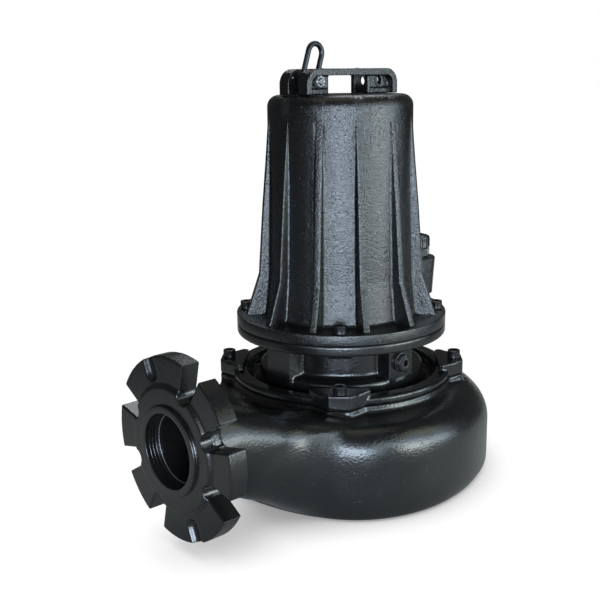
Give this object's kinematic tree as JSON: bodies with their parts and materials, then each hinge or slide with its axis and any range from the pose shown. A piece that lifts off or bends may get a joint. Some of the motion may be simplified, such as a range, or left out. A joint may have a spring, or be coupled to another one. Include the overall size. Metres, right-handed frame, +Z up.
{
  "type": "submersible sewage pump",
  "caption": "Submersible sewage pump: finned motor on an oil chamber and spiral casing, slotted horizontal discharge flange, twin-arch handle with lifting link.",
  "frame": {"origin": "on the floor under the middle of the pump's bounding box; the shaft is at x -0.0145, y 0.0695", "axes": "+Z up along the shaft, the discharge flange faces -Y"},
  "size_m": [0.3677, 0.5048, 0.5334],
  "materials": {
    "cast_paint": "satin black epoxy over a sand-cast skin",
    "black_oxide": "black oxide",
    "dark_steel": "dark satin steel",
    "bare_iron": "bare cast iron",
    "seal_metal": "satin",
    "rubber": "matt"
  },
  "bodies": {
    "pump": {"volute_casing": "cast_paint", "oil_chamber": "cast_paint", "motor_housing": "cast_paint", "handle_arch_left": "cast_paint", "handle_arch_right": "cast_paint", "cross_bolt": "black_oxide", "cross_bolt_nut": "dark_steel", "motor_screw_1": "black_oxide", "motor_screw_2": "black_oxide", "motor_screw_3": "black_oxide", "motor_screw_4": "black_oxide", "volute_screw_1": "black_oxide", "volute_screw_2": "black_oxide", "volute_screw_3": "black_oxide", "volute_screw_4": "black_oxide", "oil_plug": "black_oxide", "oil_plug_washer": "seal_metal", "drain_plug": "black_oxide", "drain_plug_washer": "seal_metal", "gland_body": "black_oxide", "gland_nut": "black_oxide", "gland_bush": "rubber", "wear_ring": "bare_iron", "impeller": "bare_iron", "impeller_washer": "dark_steel", "impeller_screw": "dark_steel", "pump_shaft": "dark_steel"},
    "lifting_link": {"lifting_link": "dark_steel"}
  },
  "joints": [
    {"name": "link_swing", "type": "hinge", "parent": "pump", "child": "lifting_link", "pos_m": [-0.0145, 0.01745, 0.4866], "axis": [1, 0, 0], "range_deg": [-40, 95]}
  ]
}
